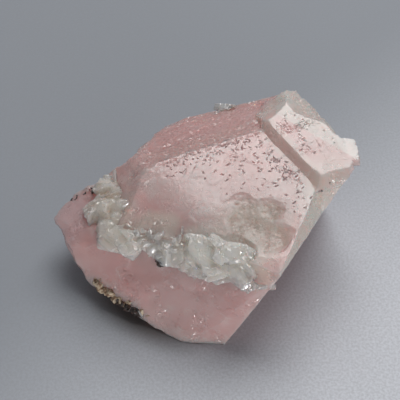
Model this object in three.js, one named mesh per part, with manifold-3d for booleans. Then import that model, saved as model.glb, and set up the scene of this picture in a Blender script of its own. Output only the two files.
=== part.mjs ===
// A rough morganite crystal: a thick tablet of pink beryl, broken at its front, its left end and its
// underside, with a pale albite crust along the broken rim, a patch of albite on its back and a few grains
// of black schorl.
// Millimetres, +Z up. The specimen rests on a flat cleavage face at Z = 0, with the origin at the middle
// of the base of its bounding box.
import * as THREE from 'three';
import { ConvexGeometry } from 'three/addons/geometries/ConvexGeometry.js';
import { mergeVertices } from 'three/addons/utils/BufferGeometryUtils.js';
import Module from 'manifold-3d';

const wasm = await Module();
wasm.setup();

// ---------------------------------------------------------------- driving dimensions

const SPAN = 100; // edge of the block that the crystal is cut from, and of every cutter
const ROOM = 0.45; // how far a grain's room reaches past it along each axis, which clears it by about 0.3
const HEART = new THREE.Vector3(0, 0, 10); // the point that every face's distance is measured from
const TURN = 2 * Math.PI;

// A face is given by the way its outward normal points: azimuth in degrees from +X towards +Y, tilt in
// degrees from straight up, and its distance from the heart. Relief is the height of a fracture's bumps
// and facet the width of its facets.

// The top is a basal face in two terraces. Each terrace belongs to a step of its own.
const BASAL = { azimuth: 243.4, tilt: 10.3 };
const LOWER_STEP = {
  terrace: { ...BASAL, distance: 8.9 },
  backPyramid: { azimuth: 124.5, tilt: 23, distance: 11.8 },
  rightBevel: { azimuth: 328, tilt: 52, distance: 18.6 },
};
const UPPER_STEP = {
  terrace: { ...BASAL, distance: 10.3 },
  riser: { azimuth: 219, tilt: 54, distance: -4.5 },
  leftEnd: { azimuth: 182, tilt: 75, distance: -6.7 },
  frontChip: { azimuth: 278, tilt: 48, distance: 10.3 },
  backLeftChip: { azimuth: 144, tilt: 40, distance: 8.6, relief: 0.3, facet: 2.5, seed: 9 },
  backChip: { azimuth: 99, tilt: 85, distance: 18.6, relief: 0.4, facet: 2.5, seed: 10 },
};

const GROWTH_FACES = {
  backPrism: { azimuth: 105.6, tilt: 90, distance: 17.6 },
  rightPrism: { azimuth: 329.4, tilt: 110.5, distance: 14.7 },
};

const FRACTURES = {
  front: { azimuth: 244, tilt: 63, distance: 11.9, relief: 0.5, facet: 4, seed: 3 },
  frontCorner: { azimuth: 263.8, tilt: 80.5, distance: 16.9, relief: 0.3, facet: 4, seed: 4 },
  frontUnderside: { azimuth: 206, tilt: 162, distance: 12.9, relief: 0.6, facet: 3, seed: 21 },
  noseTip: { azimuth: 212, tilt: 92, distance: 22, relief: 0.5, facet: 3, seed: 5 },
  noseBack: { azimuth: 143, tilt: 88, distance: 21.2, relief: 0.4, facet: 3, seed: 7 },
  noseUnderside: { azimuth: 164, tilt: 152, distance: 14, relief: 0.5, facet: 3, seed: 6 },
  backUnderside: { azimuth: 80, tilt: 150, distance: 15.5, relief: 0.6, facet: 3.5, seed: 14 },
  backRightChip: { azimuth: 37, tilt: 27, distance: 21.3, relief: 0.5, facet: 2.5, seed: 8 },
  farEnd: { azimuth: 24, tilt: 86, distance: 24.3, relief: 0.5, facet: 3, seed: 12 },
  rightTip: { azimuth: 330, tilt: 75, distance: 22.7, relief: 0.3, facet: 2.5, seed: 13 },
};

// Re-entrant corners: what lies beyond both faces of a pair is missing.
const LEFT_SHOULDER = [
  { azimuth: 188, tilt: 40, distance: 12.8, relief: 0.35, facet: 3.5, seed: 31 },
  { azimuth: 196, tilt: 20, distance: 7.6, relief: 0.5, facet: 3, seed: 32 },
];
const NOSE_BEVEL = [
  { azimuth: 225, tilt: 42, distance: 11.3, relief: 0.35, facet: 2.5, seed: 33 },
  { azimuth: 196, tilt: 88, distance: 16.5 },
];
const BACK_LEFT_NOTCH = [
  { azimuth: 150, tilt: 86, distance: 15.4, relief: 0.4, facet: 3, seed: 41 },
  { azimuth: 114, tilt: 85, distance: 13.4, relief: 0.5, facet: 3, seed: 42 },
];

// Shell-shaped breaks: a ball of this radius takes out a bowl of this depth, its deepest point at x, y.
const SCOOP_RIPPLE = 0.02;
const SCOOPS = [
  { x: 8, y: -8.5, radius: 17, depth: 2.2, seed: 51 },
  { x: 14.5, y: -4.5, radius: 9, depth: 1.6, seed: 52 },
];

// The middle line of the albite crust, from the left shoulder along the broken rim to the right corner, with
// the half width of the crust at each point.
const CRUST_LINE = [
  { x: -16.6, y: 4.6, z: 13.7, half: 2.5 },
  { x: -18.1, y: 0.8, z: 12.8, half: 3.3 },
  { x: -16.5, y: -4.1, z: 12.9, half: 3.6 },
  { x: -12.8, y: -7.1, z: 13.9, half: 2.9 },
  { x: -9, y: -8.8, z: 14, half: 2.3 },
  { x: -5.8, y: -10.1, z: 14.2, half: 2.3 },
  { x: -2.4, y: -11.6, z: 14.5, half: 2.3 },
  { x: 1.6, y: -13.2, z: 14.7, half: 2.3 },
  { x: 5.4, y: -14.8, z: 14.9, half: 1.9 },
  { x: 8.9, y: -16.5, z: 14.7, half: 1.6 },
];
const CRUST = {
  facing: { azimuth: 246, tilt: 40 },
  lumps: 17,
  flatness: 0.62,
  blades: 18,
  bladeLength: 2.3,
  seed: 61,
};

const BACK_PATCH = {
  middle: { x: 3.6, y: 19.7, z: 15.2 },
  facing: { azimuth: 105, tilt: 80 },
  reach: 3.2,
  lumps: 5,
  flatness: 0.5,
  blades: 6,
  bladeLength: 2,
  seed: 71,
};

const SCHORL_GRAINS = {
  rim: { place: { x: -7, y: -11.4, z: 12.1 }, facing: { azimuth: 300, tilt: 60 }, length: 2.6, width: 1.2 },
  base: { place: { x: -12.6, y: -13.2, z: 2.1 }, facing: { azimuth: 325, tilt: 100 }, length: 4, width: 1.5 },
};

const COLOURS = {
  morganite: { color: 0xd9aaa4, roughness: 0.18 },
  albite: { color: 0xdcd6cc, roughness: 0.3 },
  schorl: { color: 0x2a2020, roughness: 0.35 },
};

// ---------------------------------------------------------------- repeatable randomness

/** Returns a function that gives the next number from 0 to 1 of a repeatable series. */
function randomSeries(seed) {
  let state = seed;
  return () => {
    state = (state + 0x6d2b79f5) | 0;
    let mixed = Math.imul(state ^ (state >>> 15), 1 | state);
    mixed = (mixed + Math.imul(mixed ^ (mixed >>> 7), 61 | mixed)) ^ mixed;
    return ((mixed ^ (mixed >>> 14)) >>> 0) / 4294967296;
  };
}

/** A direction taken evenly from the whole sphere. */
function anyDirection(random) {
  return new THREE.Vector3().setFromSphericalCoords(1, Math.acos(2 * random() - 1), TURN * random());
}

/** A repeatable height from -1 to 1 for one corner of a lattice. */
function latticeHeight(i, j, seed) {
  let mixed = Math.imul(i, 374761393) + Math.imul(j, 668265263) + Math.imul(seed, 974634777);
  mixed = Math.imul(mixed ^ (mixed >>> 13), 1274126177);
  return ((mixed ^ (mixed >>> 16)) >>> 0) / 2147483648 - 1;
}

/** Smooth rolling heights from -1 to 1, one lattice step wide. */
function rollingHeight(x, y, seed) {
  const i = Math.floor(x);
  const j = Math.floor(y);
  const u = THREE.MathUtils.smoothstep(x - i, 0, 1);
  const v = THREE.MathUtils.smoothstep(y - j, 0, 1);
  const near = THREE.MathUtils.lerp(latticeHeight(i, j, seed), latticeHeight(i + 1, j, seed), u);
  const far = THREE.MathUtils.lerp(latticeHeight(i, j + 1, seed), latticeHeight(i + 1, j + 1, seed), u);
  return THREE.MathUtils.lerp(near, far, v);
}

// ---------------------------------------------------------------- solids and geometries

/** Turns a closed three.js geometry into a solid that can be cut and joined. */
function solidOf(geometry) {
  const bare = geometry.clone();
  bare.deleteAttribute('normal');
  bare.deleteAttribute('uv');
  const merged = mergeVertices(bare, 1e-4);
  return new wasm.Manifold(new wasm.Mesh({
    numProp: 3,
    vertProperties: merged.attributes.position.array,
    triVerts: new Uint32Array(merged.index.array),
  }));
}

/** Turns a solid back into a three.js geometry. */
function geometryOf(solid) {
  const { vertProperties, triVerts } = solid.getMesh();
  return new THREE.BufferGeometry()
    .setAttribute('position', new THREE.BufferAttribute(vertProperties, 3))
    .setIndex(new THREE.BufferAttribute(triVerts, 1));
}

/** The largest of a solid's separate bodies. */
function largestBody(solid) {
  return solid.decompose().reduce((largest, body) => (body.volume() > largest.volume() ? body : largest));
}

/** The outward normal of a face given by its azimuth and tilt. */
function normalOf({ azimuth, tilt }) {
  const around = THREE.MathUtils.degToRad(azimuth);
  const down = THREE.MathUtils.degToRad(tilt);
  const level = Math.sin(down);
  return new THREE.Vector3(level * Math.cos(around), level * Math.sin(around), Math.cos(down));
}

/** The height of a fracture at x, y, counted in facets: broad swells with finer ones on them. */
function fractureHeight(x, y, seed) {
  const broad = rollingHeight(x / 3, y / 3, seed);
  const fine = rollingHeight(x * 0.9, y * 0.9, seed + 1);
  return 0.7 * broad + 0.3 * fine;
}

/** Everything beyond a face: a block whose near side lies on the face, rough where it is a fracture. */
function beyond(face) {
  const { distance, relief = 0, facet = SPAN, seed = 0 } = face;
  const cells = Math.round(SPAN / facet);
  const block = new THREE.BoxGeometry(SPAN, SPAN, SPAN / 2, cells, cells, 1).translate(0, 0, SPAN / 4);
  const corners = block.attributes.position;
  for (let k = 0; k < corners.count; k += 1) {
    if (corners.getZ(k) > 0) continue;
    corners.setZ(k, relief * fractureHeight(corners.getX(k) / facet, corners.getY(k) / facet, seed));
  }
  const normal = normalOf(face);
  const turn = new THREE.Quaternion().setFromUnitVectors(new THREE.Vector3(0, 0, 1), normal);
  const place = HEART.clone().addScaledVector(normal, distance);
  block.applyMatrix4(new THREE.Matrix4().compose(place, turn, new THREE.Vector3(1, 1, 1)));
  return solidOf(block);
}

/** The part of space beyond both faces. */
const beyondBoth = (one, other) => beyond(one).intersect(beyond(other));

/** The height of a terrace above the point x, y. */
function terraceHeight(terrace, x, y) {
  const normal = normalOf(terrace);
  return HEART.z + (terrace.distance - normal.x * (x - HEART.x) - normal.y * (y - HEART.y)) / normal.z;
}

/** The ball that breaks a shell-shaped bowl into the lower terrace. */
function scoopSolid({ x, y, radius, depth, seed }) {
  const ball = new THREE.IcosahedronGeometry(radius, 9);
  const corners = ball.attributes.position;
  const point = new THREE.Vector3();
  for (let k = 0; k < corners.count; k += 1) {
    point.fromBufferAttribute(corners, k);
    const ripple = 1 + SCOOP_RIPPLE * rollingHeight(point.x / 3, point.y / 3, seed);
    corners.setXYZ(k, point.x * ripple, point.y * ripple, point.z * ripple);
  }
  const surface = new THREE.Vector3(x, y, terraceHeight(LOWER_STEP.terrace, x, y));
  const middle = surface.addScaledVector(normalOf(LOWER_STEP.terrace), radius - depth);
  return solidOf(ball.translate(middle.x, middle.y, middle.z));
}

/** The corners of an angular lump of about this radius, flattened along Z. */
function lumpCorners(radius, flatness, random) {
  return Array.from({ length: 12 }, () => {
    const corner = anyDirection(random).multiplyScalar(radius * (0.85 + 0.3 * random()));
    return corner.multiply(new THREE.Vector3(1, 1, flatness));
  });
}

/** The corners of a thin crystal plate that grows along +Z and ends in a slanting edge. */
function bladeCorners(length, random) {
  const width = length * (0.3 + 0.2 * random());
  const thickness = length * (0.1 + 0.08 * random());
  const lean = 0.3 * length * random();
  return [-1, 1].flatMap((side) => [-1, 1].flatMap((face) => [
    new THREE.Vector3(side * width, face * thickness, -0.5 * length),
    new THREE.Vector3(side * width * 0.9, face * thickness, 0.6 * length + side * lean),
    new THREE.Vector3(side * width * 0.5, face * thickness * 0.4, length + 0.5 * side * lean),
  ]));
}

/** The corners of a stubby six-sided prism along Z. */
function prismCorners(length, width) {
  return [-1, 1].flatMap((end) => [0, 1, 2, 3, 4, 5].map((side) => new THREE.Vector3()
    .setFromCylindricalCoords(width * (side % 2 ? 0.5 : 0.42), (side * TURN) / 6, (end * length) / 2)
    .applyAxisAngle(new THREE.Vector3(1, 0, 0), TURN / 4)));
}

/** The turn that points +Z along a direction after a spin about +Z. */
function turnTo(direction, spin) {
  const zAxis = new THREE.Vector3(0, 0, 1);
  return new THREE.Quaternion()
    .setFromUnitVectors(zAxis, direction.clone().normalize())
    .multiply(new THREE.Quaternion().setFromAxisAngle(zAxis, spin));
}

/** A convex grain with these corners, and the larger room that clears it on every side. */
function grain(corners, place, turn) {
  const placed = corners.map((corner) => corner.clone().applyQuaternion(turn).add(place));
  const roomy = placed.flatMap((corner) => [-ROOM, ROOM].flatMap((offset) => [
    corner.clone().add(new THREE.Vector3(offset, 0, 0)),
    corner.clone().add(new THREE.Vector3(0, offset, 0)),
    corner.clone().add(new THREE.Vector3(0, 0, offset)),
  ]));
  return { body: solidOf(new ConvexGeometry(placed)), room: solidOf(new ConvexGeometry(roomy)) };
}

/** Joins grains into one mineral, and their rooms into the room that the mineral needs. */
function joined(grains) {
  return {
    body: largestBody(wasm.Manifold.union(grains.map(({ body }) => body))),
    room: wasm.Manifold.union(grains.map(({ room }) => room)),
  };
}

// ---------------------------------------------------------------- the minerals

/** The block that the crystal is cut from, standing on Z = 0, with everything beyond some faces cut off. */
function cutBlock(faces) {
  const block = solidOf(new THREE.BoxGeometry(SPAN, SPAN, SPAN / 2).translate(0, 0, SPAN / 4));
  return block.subtract(wasm.Manifold.union(Object.values(faces).map(beyond)));
}

/** The beryl: two growth steps, then the faces and fractures that both share. */
function beryl() {
  const steps = cutBlock(LOWER_STEP).add(cutBlock(UPPER_STEP));
  const cuts = [
    ...Object.values(GROWTH_FACES).map(beyond),
    ...Object.values(FRACTURES).map(beyond),
    beyondBoth(...LEFT_SHOULDER),
    beyondBoth(...NOSE_BEVEL),
    beyondBoth(...BACK_LEFT_NOTCH),
    ...SCOOPS.map(scoopSolid),
  ];
  return largestBody(steps.subtract(wasm.Manifold.union(cuts)));
}

/** A point of the crust's middle line and the half width there, as a share of the way along it. */
function crustAt(share) {
  const along = share * (CRUST_LINE.length - 1);
  const from = CRUST_LINE[Math.floor(along)];
  const to = CRUST_LINE[Math.ceil(along)];
  const part = along - Math.floor(along);
  return {
    place: new THREE.Vector3().copy(from).lerp(new THREE.Vector3().copy(to), part),
    half: THREE.MathUtils.lerp(from.half, to.half, part),
  };
}

/** Small plates standing on a patch of albite, each near a place that whereabouts gives. */
function albiteBlades(count, longest, facing, whereabouts, random) {
  return Array.from({ length: count }, () => {
    const { place, half } = whereabouts(random());
    const scatter = anyDirection(random);
    const turn = turnTo(normalOf(facing).addScaledVector(scatter, 0.8), TURN * random());
    const corners = bladeCorners(longest * (0.5 + 0.5 * random()), random);
    return grain(corners, place.addScaledVector(scatter, half * 0.6 * random()), turn);
  });
}

/** The albite along the broken rim: a row of overlapping lumps with plates standing on them. */
function albiteCrust() {
  const { facing, lumps, flatness, blades, bladeLength, seed } = CRUST;
  const random = randomSeries(seed);
  const outward = normalOf(facing);
  const bed = Array.from({ length: lumps }, (_, k) => {
    const { place, half } = crustAt(k / (lumps - 1));
    const corners = lumpCorners(half, flatness, random);
    return grain(corners, place.addScaledVector(outward, -0.35 * half), turnTo(outward, TURN * random()));
  });
  return joined([...bed, ...albiteBlades(blades, bladeLength, facing, crustAt, random)]);
}

/** The albite patch on the back face. */
function albiteBackPatch() {
  const { middle, facing, reach, lumps, flatness, blades, bladeLength, seed } = BACK_PATCH;
  const random = randomSeries(seed);
  const outward = normalOf(facing);
  const spot = () => {
    const place = anyDirection(random).multiplyScalar(reach * 0.5).projectOnPlane(outward).add(middle);
    return { place, half: reach * 0.6 };
  };
  const bed = Array.from({ length: lumps }, () => {
    const { place, half } = spot();
    return grain(lumpCorners(half, flatness, random), place, turnTo(outward, TURN * random()));
  });
  return joined([...bed, ...albiteBlades(blades, bladeLength, facing, spot, random)]);
}

/** One grain of schorl. */
function schorlGrain({ place, facing, length, width }) {
  const corners = prismCorners(length, width);
  return joined([grain(corners, new THREE.Vector3().copy(place), turnTo(normalOf(facing), 0))]);
}

// ---------------------------------------------------------------- the specimen

const minerals = new Map([
  ['schorl_rim', { ...schorlGrain(SCHORL_GRAINS.rim), ...COLOURS.schorl }],
  ['schorl_base', { ...schorlGrain(SCHORL_GRAINS.base), ...COLOURS.schorl }],
  ['albite_crust', { ...albiteCrust(), ...COLOURS.albite }],
  ['albite_back_patch', { ...albiteBackPatch(), ...COLOURS.albite }],
]);

minerals.set('morganite_crystal', { body: beryl(), ...COLOURS.morganite });

// Each mineral keeps clear of the ones before it, so the beryl, which is last, leaves room for them all.
const rooms = [];
for (const mineral of minerals.values()) {
  for (const room of rooms) mineral.body = mineral.body.subtract(room);
  mineral.body = largestBody(mineral.body);
  rooms.push(mineral.room);
}

const specimen = new THREE.Group();
for (const [name, { body, color, roughness }] of minerals) {
  const material = new THREE.MeshStandardMaterial({ color, roughness, metalness: 0 });
  const mesh = new THREE.Mesh(geometryOf(body), material);
  mesh.name = name;
  specimen.add(mesh);
}

const box = new THREE.Box3().setFromObject(specimen);
const middle = box.getCenter(new THREE.Vector3());
for (const mesh of specimen.children) mesh.geometry.translate(-middle.x, -middle.y, -box.min.z);

export default specimen;
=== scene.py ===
"""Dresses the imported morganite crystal: the beryl tablet, its albite crust and its grains of schorl.

Lengths in the dataclasses are millimetres, as a collector gives them, and MM turns them into metres.
"""
import logging
import math
import random
from contextlib import contextmanager
from dataclasses import dataclass
from enum import Enum
from typing import Any, Callable, Iterator, Union

import bpy
import numpy as np
from mathutils import Matrix, Vector


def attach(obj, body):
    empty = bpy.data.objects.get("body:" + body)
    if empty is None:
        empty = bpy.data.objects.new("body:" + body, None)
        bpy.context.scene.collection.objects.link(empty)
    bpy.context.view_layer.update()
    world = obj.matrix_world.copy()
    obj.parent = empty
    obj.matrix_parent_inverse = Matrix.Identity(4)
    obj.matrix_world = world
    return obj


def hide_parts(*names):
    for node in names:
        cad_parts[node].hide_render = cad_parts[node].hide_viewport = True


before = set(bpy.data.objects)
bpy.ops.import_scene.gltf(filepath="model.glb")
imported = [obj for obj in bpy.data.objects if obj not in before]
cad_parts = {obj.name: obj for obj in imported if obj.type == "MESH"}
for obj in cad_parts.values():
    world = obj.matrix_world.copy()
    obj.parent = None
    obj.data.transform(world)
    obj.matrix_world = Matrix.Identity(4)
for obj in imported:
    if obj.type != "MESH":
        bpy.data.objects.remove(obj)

LOG = logging.getLogger("morganite")
MM = 0.001
METRE = 1000.0  # bump depth, in millimetres, of heights that are given in metres
BODY = "root"
SPAN = 80.0  # edge of the blocks that the crystal is cut from
HEART = Vector((0.684, -1.821, 10.0))  # the point that every face's distance is measured from
REACH = 66.0  # edge of the blocks that cut the re-entrant corners
SLACK = 0.6  # a corner this far under a face still counts as on it
OVERHANG = 1.5  # how much wider a cutting block is than what it cuts
CREASE = 28.0  # an edge sharper than this, in degrees, stays a crease
STRUCK_AT = (8.0, -8.0)  # x and y of the shell-shaped breaks' middle
BARK = 0.17  # edge of the shell-shaped breaks' cells
MARKS = ("sunk", "terrace", "scoop", "riser", "pyramid", "bevel", "rim")  # what the tablet's corners carry
SHAPES = 9  # how many shapes a mineral splits into
Piece = bpy.types.Object
Array = np.ndarray
Pair = tuple[float, float]
Triple = tuple[float, float, float]
Line = tuple[Triple, ...]
Clusters = tuple[tuple[float, float, float, int], ...]
Heights = Callable[[Array, Array], Array]


# ---------------- noise on arrays of points


def lattice(i: Array, j: Array, seed: int) -> Array:
    """Repeatable heights from -1 to 1 at the corners of a lattice."""
    mixed = (i.astype(np.int64) * 374761393 + j.astype(np.int64) * 668265263 + seed * 974634777) & 0xFFFFFFFF
    mixed = ((mixed ^ (mixed >> 13)) * 1274126177) & 0xFFFFFFFF
    return (mixed ^ (mixed >> 16)) / 2147483648.0 - 1.0


def rolling(x: Array, y: Array, seed: int) -> Array:
    """Smooth heights from -1 to 1, one lattice step wide."""
    i, j = np.floor(x), np.floor(y)
    u, v = x - i, y - j
    u, v = u * u * (3 - 2 * u), v * v * (3 - 2 * v)
    near = lattice(i, j, seed) * (1 - u) + lattice(i + 1, j, seed) * u
    far = lattice(i, j + 1, seed) * (1 - u) + lattice(i + 1, j + 1, seed) * u
    return near * (1 - v) + far * v


def layered(x: Array, y: Array, width: float, seed: int, layers: int = 4) -> Array:
    """Rolling heights with finer ones on them.

    Args:
        x, y: the points, in millimetres.
        width: width of the broadest swells, in millimetres.
        seed: which field of heights.
        layers: how many scales, each half the one before.

    Returns:
        Heights of about -1 to 1.
    """
    total = np.zeros_like(x)
    for layer in range(layers):
        scale = 2.0 ** layer / width
        turned = layer * 0.9
        across = x * math.cos(turned) - y * math.sin(turned)
        along = x * math.sin(turned) + y * math.cos(turned)
        swells = rolling(across * scale + 7.3 * layer, along * scale - 3.1 * layer, seed + layer)
        total += swells * 0.55 ** layer
    return total


def stairs(height: Array, tread: float, edge: float = 0.18) -> Array:
    """Breaks smooth heights into flat treads with short steep risers between them.

    Args:
        height: the smooth heights.
        tread: height from one tread to the next.
        edge: share of each tread that its riser takes.

    Returns:
        The stepped heights.
    """
    count = height / tread
    whole = np.floor(count)
    part = np.clip((count - whole - (1 - edge)) / edge, 0, 1)
    return (whole + part * part * (3 - 2 * part)) * tread


def shares(across: Array, along: Array, long: float, short: float, turn: float) -> tuple[Array, Array]:
    """Distances along an oblong's own two axes, as shares of its half length and half width."""
    u = (across * math.cos(turn) + along * math.sin(turn)) / long
    return u, (along * math.cos(turn) - across * math.sin(turn)) / short


# ---------------- faces and their relief


@dataclass(frozen=True)
class Face:
    """A flat face: its outward normal's azimuth and tilt in degrees, and its distance from the heart."""

    azimuth: float
    tilt: float
    distance: float

    @property
    def normal(self) -> Vector:
        """The outward normal."""
        around, down = math.radians(self.azimuth), math.radians(self.tilt)
        level = math.sin(down)
        return Vector((level * math.cos(around), level * math.sin(around), math.cos(down)))

    @property
    def middle(self) -> Vector:
        """The foot of the heart's perpendicular on the face, in millimetres."""
        return HEART + self.normal * self.distance

    @property
    def axes(self) -> tuple[Vector, Vector]:
        """The level direction in the face, and the one straight up it."""
        level = Vector((0, 0, 1)).cross(self.normal).normalized()
        return level, self.normal.cross(level)

    def local(self, point: Vector) -> Pair:
        """A point's x and y in the face, in millimetres."""
        level, uphill = self.axes
        offset = point - self.middle
        return offset.dot(level), offset.dot(uphill)

    def flat(self, points: Array) -> tuple[Array, Array]:
        """Many points' x and y in the face, in millimetres."""
        level, uphill = self.axes
        offset = points - np.array(self.middle)
        return offset @ np.array(level), offset @ np.array(uphill)

    def above(self, x: float, y: float) -> Vector:
        """The point of the face above or below a place x, y, in millimetres."""
        normal, middle = self.normal, self.middle
        rise = (normal.x * (x - middle.x) + normal.y * (y - middle.y)) / normal.z
        return Vector((x, y, middle.z - rise))

    def matrix(self, x: float = 0.0, y: float = 0.0) -> Matrix:
        """The placing, in metres, that lays the XY plane on the face with +Z outwards."""
        level, uphill = self.axes
        turn = Matrix((level, uphill, self.normal)).transposed()
        return Matrix.Translation((self.middle + level * x + uphill * y) * MM) @ turn.to_4x4()


def strewn_places(face: Face, draw: random.Random, clusters: Clusters) -> Iterator[Pair]:
    """Random places in a face, each drawn as it is asked for.

    Args:
        face: the face.
        draw: where the random numbers come from.
        clusters: x, y, reach and number of places, in the whole object's millimetres.

    Yields:
        The places, in the face's own millimetres.
    """
    for x, y, reach, count in clusters:
        for _ in range(count):
            out, around = reach * math.sqrt(draw.random()), draw.uniform(0, math.tau)
            yield face.local(face.above(x + out * math.cos(around), y + out * math.sin(around)))


class Break(Enum):
    """How a mineral surface broke."""

    CURVED = "curved"
    HACKLY = "hackly"
    STEPPED = "stepped"


CURVED, HACKLY, STEPPED = Break


class Relief:
    """The relief of a face. Its margin is how far it may stand above the face, in millimetres."""

    margin = 0.0

    def relief(self, _face: Face) -> Heights:
        """The heights of this relief on a face; most kinds are alike on every face."""
        return self.height


@dataclass(frozen=True)
class Fracture(Relief):
    """The relief of a broken face."""

    kind: Break
    seed: int
    swell: float = 0.4
    width: float = 10.0
    grain: float = 0.04
    cell: float = 0.38

    @property
    def margin(self) -> float:
        """How far the relief may stand above its face, in millimetres."""
        return 2.2 * self.swell + 3 * self.grain

    def height(self, x: Array, y: Array) -> Array:
        """Heights of the break above its face, in millimetres."""
        broad = self.swell * layered(x, y, self.width, self.seed)
        fine = self.grain * layered(x, y, 1.1, self.seed + 40, 2)
        if self.kind is CURVED:
            return broad + fine
        if self.kind is STEPPED:
            slope = 0.05 * (x + 0.4 * y)
            return 0.5 * broad + 0.6 * (stairs(broad * 1.6 + slope, 0.35) - slope) + fine
        chips = np.abs(layered(x, y, self.width * 0.45, self.seed + 11, 3))
        return 0.6 * broad + self.swell * (0.8 - 1.4 * chips) + 2 * fine


@dataclass(frozen=True)
class Striated(Relief):
    """The relief of a prism face: fine ribs straight down it."""

    seed: int
    depth: float = 0.07
    width: float = 1.3
    cell: float = 0.3

    def height(self, x: Array, y: Array) -> Array:
        """Heights of the ribs above the face, in millimetres."""
        ribs = layered(x, y * 0.06, self.width, self.seed, 3)
        patches = layered(x, y, 5.0, self.seed + 5, 2)
        return self.depth * (stairs(ribs, 0.4) + 0.5 * patches - 2.6)


@dataclass(frozen=True)
class Etched(Relief):
    """The relief of an etched growth face: low terraces with elongated pits sunk in them.

    A cluster is x, y, reach and number of pits, in the whole object's millimetres.
    """

    seed: int
    pits: int
    middle: Pair
    reach: Pair
    toward: Pair
    clusters: Clusters = ()
    length: Pair = (0.28, 0.85)
    width: Pair = (0.11, 0.26)
    depth: Pair = (0.07, 0.16)
    grain: float = 0.006
    cell: float = 0.12
    sag: Triple = (225.0, 40.0, 36.0)

    def sunken(self, across: Array, along: Array) -> Array:
        """How far the face rolls over below its plane. The sag is azimuth, start and radius."""
        around, start, radius = math.radians(self.sag[0]), self.sag[1], self.sag[2]
        beyond = np.maximum(across * math.cos(around) + along * math.sin(around) - start, 0)
        return beyond * beyond / (2 * radius)

    def places(self, face: Face) -> list[Triple]:
        """Where the pits lie in a face, and how large each is beside the others."""
        draw = random.Random(self.seed)
        found = []
        while len(found) < self.pits:
            x = self.middle[0] + draw.uniform(-1, 1) * self.reach[0]
            y = self.middle[1] + draw.uniform(-1, 1) * self.reach[1]
            lean = (x - self.middle[0]) * self.toward[0] + (y - self.middle[1]) * self.toward[1]
            if draw.random() < 0.32 + 0.055 * lean and self.sunken(x - HEART.x, y - HEART.y) < 0.02:
                found.append((*face.local(face.above(x, y)), draw.uniform(0.55, 1.15)))
        for place in strewn_places(face, draw, self.clusters):
            found.append((*place, draw.uniform(0.4, 0.95)))
        return found

    def relief(self, face: Face) -> Heights:
        """The heights of this relief on a face."""
        places = self.places(face)

        def height(x: Array, y: Array) -> Array:
            """Heights of the etched face above its plane, in millimetres."""
            draw = random.Random(self.seed + 1)
            sunk = np.zeros_like(x)
            for at_x, at_y, size in places:
                turn = math.radians(draw.choice((-52, 8, 68)) + draw.uniform(-9, 9))
                half_length = 0.5 * size * draw.uniform(*self.length)
                half_width = 0.5 * size * draw.uniform(*self.width)
                depth = draw.uniform(*self.depth)
                near = np.nonzero(np.hypot(x - at_x, y - at_y) < half_length + 0.2)[0]
                across, along = x[near] - at_x, y[near] - at_y
                u, v = shares(across, along, half_length, half_width, turn)
                wall = np.clip(1.6 * (1 - u ** 4 - v ** 4), 0, 1)
                sunk[near] = np.maximum(sunk[near], depth * wall)
            terraces = stairs(0.05 * layered(x, y, 7.0, self.seed + 3, 3), 0.03, 0.3)
            level, uphill = face.axes
            offset = face.middle - HEART
            terraces -= self.sunken(offset.x + x * level.x + y * uphill.x,
                                    offset.y + x * level.y + y * uphill.y)
            return terraces + self.grain * layered(x, y, 0.6, self.seed + 7, 2) - 0.12 - sunk

        return height


@dataclass(frozen=True)
class Frosted(Relief):
    """The relief of a face dulled all over by small pits."""

    seed: int
    depth: float = 0.09
    width: float = 0.7
    cell: float = 0.17

    def height(self, x: Array, y: Array) -> Array:
        """Heights of the frosted face above its plane, in millimetres."""
        pitted = np.abs(layered(x * 1.6, y, self.width, self.seed, 3))
        where = np.clip(0.55 + 0.8 * layered(x, y, 5.0, self.seed + 4, 2), 0.15, 1)
        steps = stairs(0.12 * layered(x * 0.3, y, 4.0, self.seed + 9, 3), 0.06, 0.25)
        return steps - self.depth * where * (1 - pitted) - 0.22


@dataclass(frozen=True)
class Scar:
    """One shell-shaped break, by its middle in the whole object's millimetres, its reach and its depth."""

    x: float
    y: float
    long: float
    short: float
    depth: float
    turn: float = 0.0
    ripple: float = 0.02


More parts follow.
